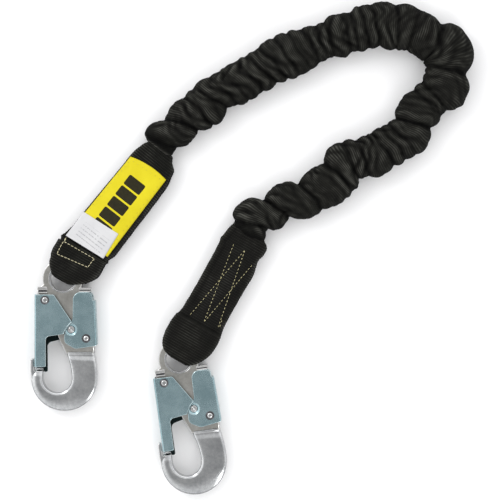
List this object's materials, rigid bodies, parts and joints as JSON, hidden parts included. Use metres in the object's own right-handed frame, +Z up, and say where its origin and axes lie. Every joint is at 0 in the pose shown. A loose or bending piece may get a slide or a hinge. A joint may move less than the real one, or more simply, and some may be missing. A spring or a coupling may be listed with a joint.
{
  "type": "shock absorbing lanyard",
  "caption": "Fall-arrest lanyard: gathered black web sleeve over a tear-away core, sewn end packs and a double-locking snap hook in each web loop.",
  "frame": {"origin": "centre of the lanyard's bounding box, on the surface that it lies on", "axes": "+Z up from the surface, +Y from the hooks towards the sleeve's bend, +X towards the bend's outer side"},
  "size_m": [0.3788, 0.4224, 0.026],
  "materials": {
    "black_web": "ribbed matt webbing",
    "core_web": "undyed webbing",
    "elastic": "covered rubber",
    "thread": "twisted sewing thread",
    "yellow_label": "coated cloth",
    "white_label": "matt coated paper",
    "hook_steel": "tumbled and polished nickel plate",
    "zinc_plate": "clear blue zinc plate",
    "rivet_steel": "bright steel",
    "spring_wire": "oiled wire"
  },
  "bodies": {
    "lanyard": {"outer_sleeve": "black_web", "energy_absorbing_core": "core_web", "upper_elastic_band": "elastic", "lower_elastic_band": "elastic", "left_end_pack": "black_web", "right_end_pack": "black_web", "identification_label": "yellow_label", "inspection_label": "white_label", "zigzag_stitching": "thread"},
    "left_loop": {"left_loop_web": "black_web", "left_loop_liner": "core_web", "box_stitching": "thread"},
    "left_hook": {"left_hook_body": "hook_steel", "left_gate_rivet": "rivet_steel", "left_lever_rivet": "rivet_steel", "left_gate_spring": "spring_wire", "left_lever_spring": "spring_wire"},
    "left_gate": {"left_gate": "zinc_plate"},
    "left_lever": {"left_lock_lever": "zinc_plate", "left_lock_pin": "rivet_steel"},
    "right_loop": {"right_loop_web": "black_web", "right_loop_liner": "core_web"},
    "right_hook": {"right_hook_body": "hook_steel", "right_gate_rivet": "rivet_steel", "right_lever_rivet": "rivet_steel", "right_gate_spring": "spring_wire", "right_lever_spring": "spring_wire"},
    "right_gate": {"right_gate": "zinc_plate"},
    "right_lever": {"right_lock_lever": "zinc_plate", "right_lock_pin": "rivet_steel"}
  },
  "joints": [
    {"name": "left_loop_bend", "type": "hinge", "parent": "lanyard", "child": "left_loop", "pos_m": [-0.14677, 0.00006, 0.009], "axis": [-0.8746, 0.4848, 0], "range_deg": [0, 60]},
    {"name": "left_hook_turn", "type": "hinge", "parent": "left_loop", "child": "left_hook", "pos_m": [-0.1618, -0.02706, 0.009], "axis": [0, 0, 1], "range_deg": [-65, 8]},
    {"name": "left_lever_press", "type": "hinge", "parent": "left_hook", "child": "left_lever", "pos_m": [-0.1414, -0.07876, 0.009], "axis": [0, 0, 1], "range_deg": [0, 10], "stiffness_Nm_per_rad": 0.3, "springref_deg": -17.19},
    {"name": "left_gate_open", "type": "hinge", "parent": "left_hook", "child": "left_gate", "pos_m": [-0.1769, -0.04546, 0.009], "axis": [0, 0, 1], "range_deg": [0, 18], "stiffness_Nm_per_rad": 0.3, "springref_deg": -17.19},
    {"name": "right_loop_bend", "type": "hinge", "parent": "lanyard", "child": "right_loop", "pos_m": [-0.04603, -0.06997, 0.009], "axis": [-0.8704, 0.4924, 0], "range_deg": [0, 60]},
    {"name": "right_hook_turn", "type": "hinge", "parent": "right_loop", "child": "right_hook", "pos_m": [-0.0613, -0.09696, 0.009], "axis": [0, 0, 1], "range_deg": [-45, 2]},
    {"name": "right_lever_press", "type": "hinge", "parent": "right_hook", "child": "right_lever", "pos_m": [-0.03415, -0.14546, 0.009], "axis": [0, 0, 1], "range_deg": [0, 10], "stiffness_Nm_per_rad": 0.3, "springref_deg": -17.19},
    {"name": "right_gate_open", "type": "hinge", "parent": "right_hook", "child": "right_gate", "pos_m": [-0.0738, -0.11721, 0.009], "axis": [0, 0, 1], "range_deg": [0, 18], "stiffness_Nm_per_rad": 0.3, "springref_deg": -17.19}
  ],
  "couplings": [
    {"joint": "left_gate_open", "follows": "left_lever_press", "ratio": 1.8},
    {"joint": "right_gate_open", "follows": "right_lever_press", "ratio": 1.8}
  ]
}
